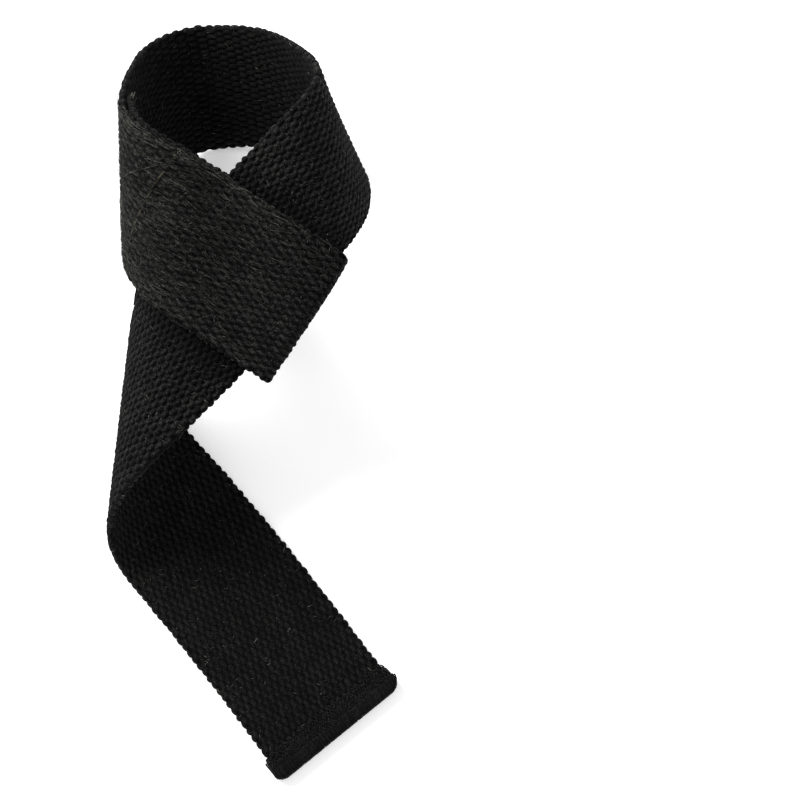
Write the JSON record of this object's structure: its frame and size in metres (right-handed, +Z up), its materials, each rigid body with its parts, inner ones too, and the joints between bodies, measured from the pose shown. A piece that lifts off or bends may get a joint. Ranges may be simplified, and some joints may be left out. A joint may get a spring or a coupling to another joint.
{
  "type": "weightlifting strap",
  "caption": "Lasso strap of black cotton webbing: its end is threaded through its own stitched slot to make a wrist loop, and the long tail folds over to an overlocked end.",
  "frame": {"origin": "under the middle of the strap's extents, on the floor it lies on", "axes": "+X to the right, +Y from the tail to the wrist loop, +Z up"},
  "size_m": [0.0756, 0.1942, 0.0615],
  "materials": {
    "black_cotton_webbing": "matt woven cotton",
    "black_overlock_thread": "matt wrapped thread"
  },
  "bodies": {
    "root": {"webbing": "black_cotton_webbing", "end_binding": "black_overlock_thread"}
  },
  "joints": []
}
